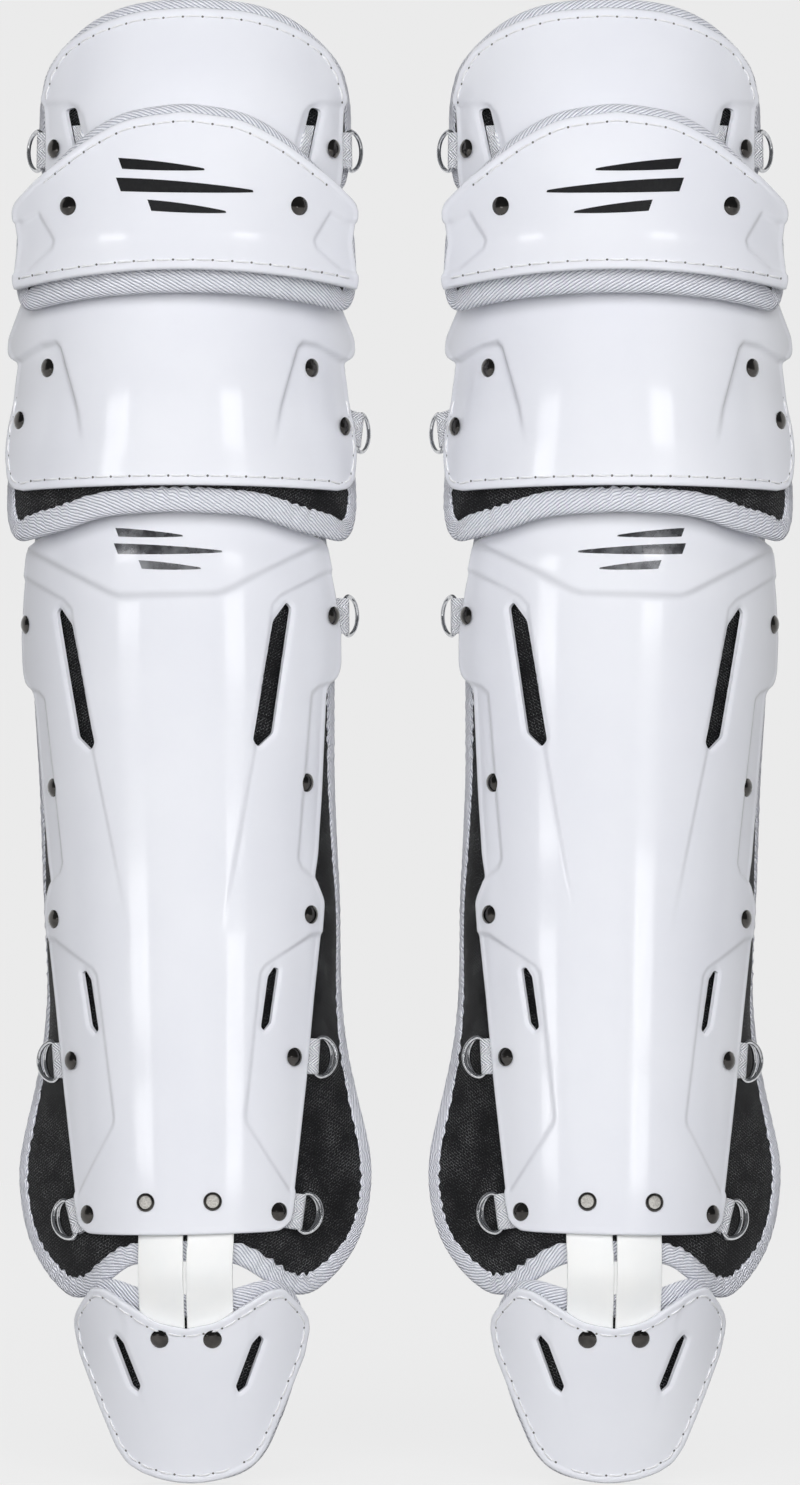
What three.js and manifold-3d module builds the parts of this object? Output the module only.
// A mirrored pair of catcher's leg guards, standing upright as worn, fronts towards -Y.
// Units are millimetres, +Z is up, and the origin is under the middle of the pair.
// Each guard is a chain of glossy shells over sewn foam pads: thigh, knee, lower knee, shin and toe.
// The right guard is built round its own middle line, inner side towards -X, and the left one mirrors it.
import * as THREE from "three";
import { mergeVertices } from "three/addons/utils/BufferGeometryUtils.js";
import Module from "manifold-3d";

const wasm = await Module();
wasm.setup();

// Driving dimensions
const DEPTH_SHIFT = -12.2; // moves both guards along Y so that the pair is centred front to back
const SHELL = 2.5; // shell wall
const WEB_GAP = 3.4; // space between shell and pad that the webbing lies in
const PAD = 7; // pad thickness behind a shell
const SHIN_PAD = 9; // the long pad is thicker
const PAD_FRONT = SHELL + WEB_GAP; // depth of a pad's front face behind the shell's front face

const WEB_WIDTH = 15; // webbing of the ring tabs
const WEB_THICK = 2; // two layers of webbing
const LOOP_OUTER = 2.5; // radius of the webbing round the ring's bar
const LOOP_HOLE = 1.3; // radius of the hole that the bar turns in
const LOOP_REACH = 4.7; // from the shell's edge to the bar
const LOOP_LIFT = 1.5; // the bar stands this far in front of the webbing's middle
const TAB_TAIL = 12.5; // webbing behind the shell
const LOOP_CLOSE = 0.6; // where the turned-back layer of webbing meets the front one, past the shell's edge

const WIRE = 0.95; // ring wire radius
const RING_HALF = 8.7; // half the bar's length
const RING_REACH = 10; // from the bar to the far side of the ring
const RING_CORNER = 2.2; // from the bar to the start of the ring's round bow

const RIVET_HEAD = 4;
const RIVET_RISE = 1.7;
const RIVET_TOP = 0.62; // a head's top, as a share of its foot
const RIVET_STAND = 0.65; // clearance under a head
const RIVET_SHANK = 1.6;
const RIVET_HOLE = 2.2;
const RIVET_SIDES = 6;

const STRAP_WIDTH = 21.4; // each of the two toe straps
const STRAP_INNER_EDGE = 0.7; // from the middle line to a strap's near edge
const STRAP_THICK = 1.6;

const RIGHT_ANGLE = Math.PI / 2;

const material = {
  shell: new THREE.MeshStandardMaterial({ color: 0xf1f2f8, roughness: 0.14, metalness: 0 }),
  pad: new THREE.MeshStandardMaterial({ color: 0x1c1d1f, roughness: 0.9, metalness: 0 }),
  webbing: new THREE.MeshStandardMaterial({ color: 0xeceef8, roughness: 0.85, metalness: 0 }),
  strap: new THREE.MeshStandardMaterial({ color: 0xf7f8f8, roughness: 0.45, metalness: 0 }),
  ring: new THREE.MeshStandardMaterial({ color: 0xb9bbbf, roughness: 0.2, metalness: 1 }),
};

// ---- small helpers ----

// Straight-line interpolation through [[at, value], ...], held level past both ends.
function line(points) {
  return (at) => {
    if (at <= points[0][0]) return points[0][1];
    for (let i = 1; i < points.length; i++) {
      const [a, va] = points[i - 1];
      const [b, vb] = points[i];
      if (at <= b) return va + ((vb - va) * (at - a)) / (b - a);
    }
    return points.at(-1)[1];
  };
}

function smoothstep(low, high, at) {
  const t = Math.min(1, Math.max(0, (at - low) / (high - low)));
  return t * t * (3 - 2 * t);
}

// A closed three.js geometry as a manifold-3d solid.
function solidOf(geometry) {
  const bare = geometry.clone();
  bare.deleteAttribute("normal");
  bare.deleteAttribute("uv");
  const merged = mergeVertices(bare, 1e-4);
  return new wasm.Manifold(
    new wasm.Mesh({
      numProp: 3,
      vertProperties: merged.attributes.position.array,
      triVerts: new Uint32Array(merged.index.array),
    }),
  );
}

// A manifold-3d solid as a three.js geometry.
function geometryOf(solid) {
  const mesh = solid.getMesh();
  const geometry = new THREE.BufferGeometry();
  geometry.setAttribute("position", new THREE.BufferAttribute(mesh.vertProperties, 3));
  geometry.setIndex(new THREE.BufferAttribute(mesh.triVerts, 1));
  geometry.computeVertexNormals();
  return geometry;
}

// ---- surfaces: each segment bends round the leg ----

// A section is an arc of radius R up to the angle of flare, and straight on from there.
// along is the distance from the crown line over the front face, deep the depth behind that face.
function bend(form, along, z, deep) {
  const radius = form.radius(z);
  const flare = form.flare ? form.flare(z) : RIGHT_ANGLE;
  const angle = Math.min(Math.abs(along) / radius, flare);
  const straight = Math.abs(along) - angle * radius;
  const x = (radius - deep) * Math.sin(angle) + straight * Math.cos(angle);
  const y = radius - (radius - deep) * Math.cos(angle) + straight * Math.sin(angle);
  return new THREE.Vector3(Math.sign(along) * x, form.crown(z) + y, z);
}

// The distance over the face of the point seen at x from the front.
const overFace = (form, x, z) => form.radius(z) * Math.asin(x / form.radius(z));

// The direction away from the leg, square to the face at a point, whose sides are out and up over the face.
function awayFrom(form, along, z, out = overStep(form, along, z)) {
  const up = bend(form, along, z + 3, 0).sub(bend(form, along, z - 3, 0));
  return out.clone().cross(up).normalize();
}

const overStep = (form, along, z) => bend(form, along + 3, z, 0).sub(bend(form, along - 3, z, 0));

const thigh = {
  crown: line([[548, -28], [565, -29.5], [583, -29], [600, -26], [618, -20], [640, -11]]),
  radius: () => 78,
};
const knee = {
  crown: line([[505, -42.5], [520, -45.5], [538, -48], [556, -48.5], [572, -47], [592, -42.5]]),
  radius: line([[505, 96], [550, 98], [590, 92]]),
};
const lowerKnee = {
  crown: line([[405, -22.5], [427, -23.5], [450, -25.5], [480, -27.5], [505, -27.5], [525, -26]]),
  radius: line([[405, 95], [430, 90], [470, 82], [525, 78]]),
};
const shin = {
  crown: line([[81, -9], [120, -7], [180, -3], [275, 0], [380, -3], [405, -4.5], [446, -4.5]]),
  radius: line([[90, 63], [183, 69], [302, 75], [360, 78.5], [385, 78.5], [445, 67]]),
};
const toe = {
  crown: (z) => -9.5 + 0.27 * (86 - z),
  radius: line([[3, 60], [86, 66]]),
};

// Where each segment stands: axis is the distance of its own upright axis from the middle of the pair,
// turn is the angle by which it faces outwards, and middle the height at which that turn is centred.
// The sewn joints let the shin twist against the knee, and it leans outwards from its ankle.
const SEGMENTS = {
  thigh: { form: thigh, axis: 88.5, turn: 0, lean: 0, middle: 590 },
  knee: { form: knee, axis: 91.8, turn: 0, lean: 0, middle: 545 },
  lowerKnee: { form: lowerKnee, axis: 94.5, turn: 0, lean: 0, middle: 470 },
  shin: { form: shin, axis: 87.5, turn: 5.2, lean: 1.15, middle: 260 },
  strap: { form: shin, axis: 87.2, turn: 4.8, lean: 0, middle: 95 },
  toe: { form: toe, axis: 86.5, turn: 4.5, lean: 0, middle: 45 },
};
const LEAN_LEVEL = 120; // height of the point that a leaning segment leans about

// The face depth behind another form: a pad lies on the inside of its shell.
const behind = (form, depth, flare) => ({
  crown: (z) => form.crown(z) + depth,
  radius: (z) => form.radius(z) - depth,
  flare,
});

// ---- sheets: an outline laid on a surface and given a thickness ----

// Spreads n + 1 places over 0..1, closer together towards the bent sides.
const SIDE_ANGLE = THREE.MathUtils.degToRad(68);
const spread = (n) =>
  Array.from({ length: n + 1 }, (_, i) => {
    const angle = SIDE_ANGLE * ((2 * i) / n - 1);
    return 0.5 + (0.5 * Math.sin(angle)) / Math.sin(SIDE_ANGLE);
  });

// A sheet between a bottom edge, a top edge and two mirrored sides. side is a list of [half width, z]
// from the bottom corner to the top one, and bottom and top give z for a share of the half width.
// Rows run from side point to side point, and the edges' shape fades towards the middle rows.
function sheet(form, { side, bottom, top, columns, thick, front = 0, measure = "x" }) {
  const rows = side.length - 1;
  const zLow = side[0][1];
  const zHigh = side.at(-1)[1];
  const places = spread(columns);
  const point = (u, j, deep) => {
    const [half, z] = side[j];
    const share = 2 * u - 1;
    const up = (z - zLow) / (zHigh - zLow);
    const level = z + (1 - up) * (bottom(Math.abs(share)) - zLow) + up * (top(Math.abs(share)) - zHigh);
    const along = measure === "x" ? overFace(form, share * half, level) : share * half;
    return bend(form, along, level, deep);
  };
  const vertices = [];
  for (const deep of [front, front + thick])
    for (let j = 0; j <= rows; j++) for (const u of places) vertices.push(...point(u, j, deep).toArray());
  return geometryOf(solidOf(closeGrid(vertices, columns + 1, rows + 1)));
}

// Joins two equal grids of vertices, front then back, into one closed surface facing out.
function closeGrid(vertices, across, up) {
  const layer = across * up;
  const index = [];
  const quad = (a, b, c, d) => index.push(a, b, c, a, c, d);
  const at = (i, j, k) => k * layer + j * across + i;
  for (let j = 0; j < up - 1; j++)
    for (let i = 0; i < across - 1; i++) {
      quad(at(i, j, 0), at(i + 1, j, 0), at(i + 1, j + 1, 0), at(i, j + 1, 0));
      quad(at(i, j, 1), at(i, j + 1, 1), at(i + 1, j + 1, 1), at(i + 1, j, 1));
    }
  for (let i = 0; i < across - 1; i++) {
    quad(at(i, 0, 1), at(i + 1, 0, 1), at(i + 1, 0, 0), at(i, 0, 0));
    quad(at(i, up - 1, 0), at(i + 1, up - 1, 0), at(i + 1, up - 1, 1), at(i, up - 1, 1));
  }
  for (let j = 0; j < up - 1; j++) {
    quad(at(0, j, 0), at(0, j + 1, 0), at(0, j + 1, 1), at(0, j, 1));
    quad(at(across - 1, j, 1), at(across - 1, j + 1, 1), at(across - 1, j + 1, 0), at(across - 1, j, 0));
  }
  const geometry = new THREE.BufferGeometry();
  geometry.setAttribute("position", new THREE.Float32BufferAttribute(vertices, 3));
  geometry.setIndex(index);
  return geometry;
}

// Cuts an outline of [x, z] points, and its mirror image, straight through a shell from front to back.
const CUT_DEPTH = 120;
function cutSlots(geometry, outline) {
  let solid = solidOf(geometry);
  for (const side of [1, -1]) {
    const shape = new THREE.Shape(outline.map(([x, z]) => new THREE.Vector2(side * x, z)));
    const prism = new THREE.ExtrudeGeometry(shape, { depth: CUT_DEPTH, bevelEnabled: false });
    prism.rotateX(RIGHT_ANGLE).translate(0, CUT_DEPTH / 2, 0);
    solid = solid.subtract(solidOf(prism));
  }
  return geometryOf(solid);
}

// Bores the holes for the tabs' rivets square to the shell.
function drill(form, geometry) {
  let solid = solidOf(geometry);
  for (const { side, rivet, z } of TABS.filter((tab) => tab.form === form)) {
    const along = side * overFace(form, rivet, z);
    const away = awayFrom(form, along, z);
    const hole = new THREE.CylinderGeometry(RIVET_HOLE, RIVET_HOLE, 6 * SHELL, RIVET_SIDES);
    hole.applyQuaternion(new THREE.Quaternion().setFromUnitVectors(new THREE.Vector3(0, 1, 0), away));
    hole.translate(...bend(form, along, z, SHELL / 2).toArray());
    solid = solid.subtract(solidOf(hole));
  }
  return geometryOf(solid);
}

// ---- the ring tabs: where each comes out, in guard coordinates (inner side is -X) ----

// edge is the half width of the shell there, rivet the place of its rivet, tilt the turn of the tab.
const TABS = [
  { name: "thigh_inner", form: thigh, side: -1, edge: 65, rivet: 60, z: 574, tilt: 0 },
  { name: "thigh_outer", form: thigh, side: 1, edge: 65, rivet: 60, z: 574, tilt: 0 },
  { name: "lower_knee_inner", form: lowerKnee, side: -1, edge: 76.2, rivet: 70.8, z: 455.5, tilt: 0.3 },
  { name: "upper_shin_inner", form: shin, side: -1, edge: 71, rivet: 67.5, z: 373, tilt: 0 },
  { name: "lower_shin_inner", form: shin, side: -1, edge: 54.9, rivet: 48.5, z: 183, tilt: 0.11 },
  { name: "lower_shin_outer", form: shin, side: 1, edge: 54.9, rivet: 48.5, z: 183, tilt: 0.11 },
  { name: "ankle_inner", form: shin, side: -1, edge: 47.6, rivet: 41.5, z: 117, tilt: 0.2 },
  { name: "ankle_outer", form: shin, side: 1, edge: 47.6, rivet: 41.5, z: 117, tilt: 0.36 },
];

// The frame of a tab at the shell's edge, for the outer side: out runs over the face and away from the
// middle line, down lies along the ring's bar, away points off the leg. A tilted tab leans downwards.
function tabFrame({ form, edge, z, tilt }) {
  const middle = SHELL + WEB_GAP / 2;
  const along = overFace(form, edge, z);
  const end = bend(form, along, z, middle);
  const out = end.clone().sub(bend(form, along - TAB_TAIL, z, middle)).normalize();
  const away = awayFrom(form, along - TAB_TAIL / 2, z, out);
  out.applyAxisAngle(away, -tilt);
  return { origin: end, out, away, down: out.clone().cross(away) };
}

// Places a mesh whose geometry lies in a tab's frame: X out, Y away, Z down.
function placeInTab(mesh, frame, side) {
  const basis = new THREE.Matrix4().makeBasis(frame.out, frame.away, frame.down);
  mesh.quaternion.setFromRotationMatrix(basis);
  mesh.position.copy(frame.origin);
  const holder = new THREE.Group();
  holder.scale.x = side;
  holder.add(mesh);
  return holder;
}

// Webbing folded round the ring's bar, with the rivet that clamps it to the shell.
function tabGeometry(tab, frame) {
  const half = WEB_THICK / 2;
  const from = Math.PI + 0.9;
  const to = 3 * Math.PI - Math.asin((LOOP_LIFT - half) / LOOP_OUTER) - 0.35;
  const shape = new THREE.Shape();
  shape.moveTo(-TAB_TAIL, -half);
  shape.lineTo(LOOP_REACH - LOOP_OUTER, -half);
  shape.absarc(LOOP_REACH, LOOP_LIFT, LOOP_OUTER, from, to, false);
  shape.lineTo(LOOP_CLOSE, half);
  shape.lineTo(-TAB_TAIL, half);
  const hole = new THREE.Path();
  hole.absarc(LOOP_REACH, LOOP_LIFT, LOOP_HOLE, 0, 2 * Math.PI, true);
  shape.holes.push(hole);
  const webbing = new THREE.ExtrudeGeometry(shape, {
    depth: WEB_WIDTH, bevelEnabled: false, curveSegments: 6,
  });
  webbing.translate(0, 0, -WEB_WIDTH / 2);
  // The rivet stands square to the shell at its own place, seen from the tab's frame.
  const along = overFace(tab.form, tab.rivet, tab.z);
  const away = awayFrom(tab.form, along, tab.z);
  const foot = bend(tab.form, along, tab.z, SHELL + WEB_GAP / 2);
  const seat = SHELL + WEB_GAP / 2 + RIVET_STAND;
  const length = seat + RIVET_RISE / 5;
  const shank = new THREE.CylinderGeometry(RIVET_SHANK, RIVET_SHANK, length, RIVET_SIDES);
  shank.translate(0, length / 2, 0);
  const head = new THREE.CylinderGeometry(RIVET_TOP * RIVET_HEAD, RIVET_HEAD, RIVET_RISE, 8);
  head.translate(0, seat + RIVET_RISE / 2, 0);
  const rivet = solidOf(shank).add(solidOf(head));
  const stand = new THREE.Matrix4().compose(
    foot,
    new THREE.Quaternion().setFromUnitVectors(new THREE.Vector3(0, 1, 0), away),
    new THREE.Vector3(1, 1, 1),
  );
  const toFrame = new THREE.Matrix4().makeBasis(frame.out, frame.away, frame.down);
  toFrame.setPosition(frame.origin).invert();
  const moved = geometryOf(rivet).applyMatrix4(toFrame.multiply(stand));
  return geometryOf(solidOf(webbing).add(solidOf(moved)));
}

// A wire ring shaped like a D, its bar on the Z axis of the tab's frame.
function ringGeometry() {
  const at = (x, z) => new THREE.Vector3(LOOP_REACH + x, LOOP_LIFT, z);
  const bow = Array.from({ length: 9 }, (_, i) => {
    const angle = -RIGHT_ANGLE + (Math.PI * i) / 8;
    return at(RING_CORNER + (RING_REACH - RING_CORNER) * Math.cos(angle), RING_HALF * Math.sin(angle));
  });
  const bar = [at(0, RING_HALF - 1), at(0, 3), at(0, -3), at(0, 1 - RING_HALF)];
  const corners = [at(0.8, -RING_HALF), at(0.8, RING_HALF)];
  const points = [...bar, corners[0], ...bow, corners[1]];
  return wireGeometry(new THREE.CatmullRomCurve3(points, true, "centripetal"), 18, 5);
}

// A closed wire along a closed plane curve that lies square to Y.
function wireGeometry(curve, steps, sides) {
  const vertices = [];
  const index = [];
  for (let k = 0; k < steps; k++) {
    const at = curve.getPoint(k / steps);
    const forward = curve.getTangent(k / steps);
    const across = new THREE.Vector3(forward.z, 0, -forward.x).normalize();
    for (let m = 0; m < sides; m++) {
      const angle = (2 * Math.PI * m) / sides;
      const place = at.clone().addScaledVector(across, WIRE * Math.cos(angle));
      place.y += WIRE * Math.sin(angle);
      vertices.push(...place.toArray());
      const a = k * sides + m;
      const b = k * sides + ((m + 1) % sides);
      const c = ((k + 1) % steps) * sides + m;
      const d = ((k + 1) % steps) * sides + ((m + 1) % sides);
      index.push(a, b, c, b, d, c);
    }
  }
  const geometry = new THREE.BufferGeometry();
  geometry.setAttribute("position", new THREE.Float32BufferAttribute(vertices, 3));
  geometry.setIndex(index);
  return geometry;
}

// ---- the pieces ----

const SHIN_SIDE = [
  [38, 108.5], [45.5, 110.5], [48, 118], [50.1, 138], [54.2, 174], [57.5, 208], [60.6, 236],
  [61.7, 249], [59.3, 257.6], [60.8, 270], [62.8, 295], [64.5, 322], [65.8, 341], [70, 348.3],
  [71, 366], [69.1, 384], [66, 404], [54, 411], [45, 436],
];
const UPPER_SLOT = [[44.8, 373.5], [50.6, 377.5], [42.6, 321.5], [35.8, 317]];
const LOWER_SLOT = [[39.7, 220], [42.3, 221], [39.1, 196], [36.5, 196]];

function shinShell() {
  const plain = sheet(shin, {
    side: SHIN_SIDE, bottom: () => 108.5, top: (share) => 446 - 6 * share ** 2, columns: 10, thick: SHELL,
  });
  return drill(shin, cutSlots(cutSlots(plain, UPPER_SLOT), LOWER_SLOT));
}

// Half lengths are over the face here, because the pad wraps past what the front shows.
function shinPad() {
  const flare = (z) => THREE.MathUtils.degToRad(45 + 40 * smoothstep(130, 250, z));
  return sheet(behind(shin, PAD_FRONT, flare), {
    side: [
      [64, 80], [75, 85], [86, 94], [93, 104], [98, 122], [98, 138], [95.5, 158], [95, 180], [97, 204],
      [99, 226], [97, 246], [91, 270], [87, 300], [86, 335], [86, 380], [82, 420], [72, 441],
    ],
    bottom: line([[0, 97], [0.35, 96], [0.62, 88], [0.82, 81], [1, 80]]),
    top: () => 441, columns: 10, thick: SHIN_PAD, measure: "face",
  });
}

function lowerKneeShell() {
  const plain = sheet(lowerKnee, {
    side: [
      [70, 427.5], [74.8, 432], [76, 442], [75.8, 456], [74, 473], [72.5, 482], [75, 489], [71, 501],
      [63, 522],
    ],
    bottom: () => 427.5, top: (share) => 525 - 3 * share ** 2, columns: 10, thick: SHELL,
  });
  return drill(lowerKnee, plain);
}

function lowerKneePad() {
  return sheet(behind(lowerKnee, PAD_FRONT), {
    side: [[86, 406], [94, 415], [96, 440], [96, 470], [91, 495], [75, 513]],
    bottom: line([[0, 419], [0.35, 417.5], [0.7, 410], [1, 406]]),
    top: () => 513, columns: 10, thick: PAD, measure: "face",
  });
}

function kneeShell() {
  return sheet(knee, {
    side: [[74.5, 513], [74.2, 523], [72.6, 533], [74.4, 546], [71.5, 550.5], [63.5, 559]],
    bottom: (share) => 519.5 - 6.5 * share ** 2,
    top: line([[0, 586.5], [0.35, 583.5], [0.62, 576], [0.84, 566.5], [1, 559]]),
    columns: 10, thick: SHELL,
  });
}

function kneePad() {
  return sheet(behind(knee, PAD_FRONT), {
    side: [[78, 504], [84, 510], [84, 528], [82, 548], [67, 561]],
    bottom: (share) => 511 - 7 * share ** 2,
    top: line([[0, 590], [0.35, 587], [0.62, 579], [0.84, 569], [1, 561]]),
    columns: 10, thick: PAD, measure: "face",
  });
}

const THIGH_SLOT = [[52.4, 591], [55.6, 590], [52.3, 568], [48.6, 569]];

function thighShell() {
  const plain = sheet(thigh, {
    side: [[63, 552], [65, 565], [65, 582], [65.3, 597], [63.5, 608], [57, 617.5]],
    bottom: () => 552,
    top: line([[0, 633.5], [0.35, 632.3], [0.62, 629], [0.85, 623.5], [1, 617.5]]),
    columns: 10, thick: SHELL,
  });
  return drill(thigh, cutSlots(plain, THIGH_SLOT));
}

function thighPad() {
  return sheet(behind(thigh, PAD_FRONT), {
    side: [[84, 558], [92, 572], [93, 594], [85, 610], [66, 623]],
    bottom: () => 558,
    top: line([[0, 637.5], [0.4, 636], [0.7, 631.5], [1, 623]]),
    columns: 10, thick: PAD, measure: "face",
  });
}

// Webbing that comes out of the thigh shell's slot and runs down its front, under the knee pad.
function thighLink() {
  return sheet(thigh, {
    side: [[6, 556], [6, 565], [6, 574], [5.4, 583]],
    bottom: () => 556, top: () => 583, columns: 2, thick: 1.2, front: -1.6, measure: "face",
  });
}

const TOE_SIDE = [[26, 6], [33, 15], [41.7, 35.3], [49.4, 55], [51.3, 71], [49, 76.5], [41, 85]];
const TOE_SLOT = [[31.5, 64], [28.6, 63], [21.4, 43], [22.6, 41.5], [25, 44.5]];
const TOE_TOP = line([[0, 68], [0.3, 70.5], [0.62, 78], [0.9, 84.5], [1, 85]]);

function toeShell() {
  const plain = sheet(toe, {
    side: TOE_SIDE, bottom: (share) => 6 * share ** 2, top: TOE_TOP, columns: 10, thick: SHELL,
  });
  return cutSlots(plain, TOE_SLOT);
}

function toePad() {
  return sheet(behind(toe, PAD_FRONT), {
    side: [[27, 7], [37, 16], [47, 36], [56, 56], [58, 69], [52, 77], [44, 83]],
    bottom: (share) => 1 + 6 * share ** 2,
    top: line([[0, 82], [0.6, 82.5], [0.9, 83.5], [1, 83]]),
    columns: 10, thick: PAD, measure: "face",
  });
}

// The two flat straps that carry the toe flap lie side by side in the webbing gap of both shells.
const strapForm = {
  crown: (z) => THREE.MathUtils.lerp(toe.crown(z), shin.crown(z), smoothstep(84, 108, z)),
  radius: (z) => THREE.MathUtils.lerp(toe.radius(z), shin.radius(z), smoothstep(84, 108, z)),
};

function toeStrap() {
  const middle = STRAP_INNER_EDGE + STRAP_WIDTH / 2;
  const levels = [56, 66, 76, 86, 92, 98, 104, 110, 120, 129];
  const vertices = [];
  const front = SHELL + (WEB_GAP - STRAP_THICK) / 2;
  for (const deep of [front, front + STRAP_THICK])
    for (const z of levels)
      for (let i = 0; i <= 4; i++) {
        const along = middle + STRAP_WIDTH * (i / 4 - 0.5);
        vertices.push(...bend(strapForm, along, z, deep).toArray());
      }
  return geometryOf(solidOf(closeGrid(vertices, 5, levels.length)));
}

// ---- assembly ----

function mesh(name, geometry, look) {
  const made = new THREE.Mesh(geometry, look);
  made.name = name;
  return made;
}

function mirrored(made, side) {
  const holder = new THREE.Group();
  holder.scale.x = side;
  holder.add(made);
  return holder;
}

// The link's strip is bent round the middle of the leg, so it is turned round the leg to its slot.
const LINK_ALONG = 54.5;
function linkMesh(name, side) {
  const made = mesh(name, thighLink(), material.webbing);
  const angle = LINK_ALONG / thigh.radius();
  const geometry = made.geometry;
  const position = geometry.attributes.position;
  for (let i = 0; i < position.count; i++) {
    const z = position.getZ(i);
    const centre = thigh.crown(z) + thigh.radius(z);
    const x = position.getX(i);
    const y = position.getY(i) - centre;
    position.setX(i, x * Math.cos(angle) - y * Math.sin(angle));
    position.setY(i, x * Math.sin(angle) + y * Math.cos(angle) + centre);
  }
  geometry.computeVertexNormals();
  return mirrored(made, side);
}

// A segment's pieces, turned about the middle of its front arc, then leant sideways.
function segment(name, pieces) {
  const { form, axis, turn, lean, middle } = SEGMENTS[name];
  const centre = form.crown(middle) + form.radius(middle);
  const inner = new THREE.Group();
  inner.position.y = -centre;
  inner.add(...pieces);
  const turned = new THREE.Group();
  turned.position.set(0, centre, -LEAN_LEVEL);
  turned.rotation.z = THREE.MathUtils.degToRad(turn);
  turned.add(inner);
  const leant = new THREE.Group();
  leant.position.set(axis, 0, LEAN_LEVEL);
  leant.rotation.y = THREE.MathUtils.degToRad(lean);
  leant.add(turned);
  return leant;
}

function guard(prefix) {
  const named = (name) => `${prefix}_${name}`;
  const tabs = (form) =>
    TABS.filter((tab) => tab.form === form).flatMap((tab) => {
      const frame = tabFrame(tab);
      const webbing = mesh(named(`tab_${tab.name}`), tabGeometry(tab, frame), material.webbing);
      const ring = mesh(named(`ring_${tab.name}`), ringGeometry(), material.ring);
      return [placeInTab(webbing, frame, tab.side), placeInTab(ring, frame, tab.side)];
    });
  const group = new THREE.Group();
  group.position.y = DEPTH_SHIFT;
  group.add(
    segment("thigh", [
      mesh(named("thigh_shell"), thighShell(), material.shell),
      mesh(named("thigh_pad"), thighPad(), material.pad),
      linkMesh(named("thigh_link_inner"), -1),
      linkMesh(named("thigh_link_outer"), 1),
      ...tabs(thigh),
    ]),
    segment("knee", [
      mesh(named("knee_shell"), kneeShell(), material.shell),
      mesh(named("knee_pad"), kneePad(), material.pad),
    ]),
    segment("lowerKnee", [
      mesh(named("lower_knee_shell"), lowerKneeShell(), material.shell),
      mesh(named("lower_knee_pad"), lowerKneePad(), material.pad),
      ...tabs(lowerKnee),
    ]),
    segment("shin", [
      mesh(named("shin_shell"), shinShell(), material.shell),
      mesh(named("shin_pad"), shinPad(), material.pad),
      ...tabs(shin),
    ]),
    segment("strap", [
      mirrored(mesh(named("toe_strap_inner"), toeStrap(), material.strap), -1),
      mirrored(mesh(named("toe_strap_outer"), toeStrap(), material.strap), 1),
    ]),
    segment("toe", [
      mesh(named("toe_shell"), toeShell(), material.shell),
      mesh(named("toe_pad"), toePad(), material.pad),
    ]),
  );
  return group;
}

const leftGuard = guard("left");
leftGuard.scale.x = -1;

const pair = new THREE.Group();
pair.add(leftGuard, guard("right"));

export default pair;
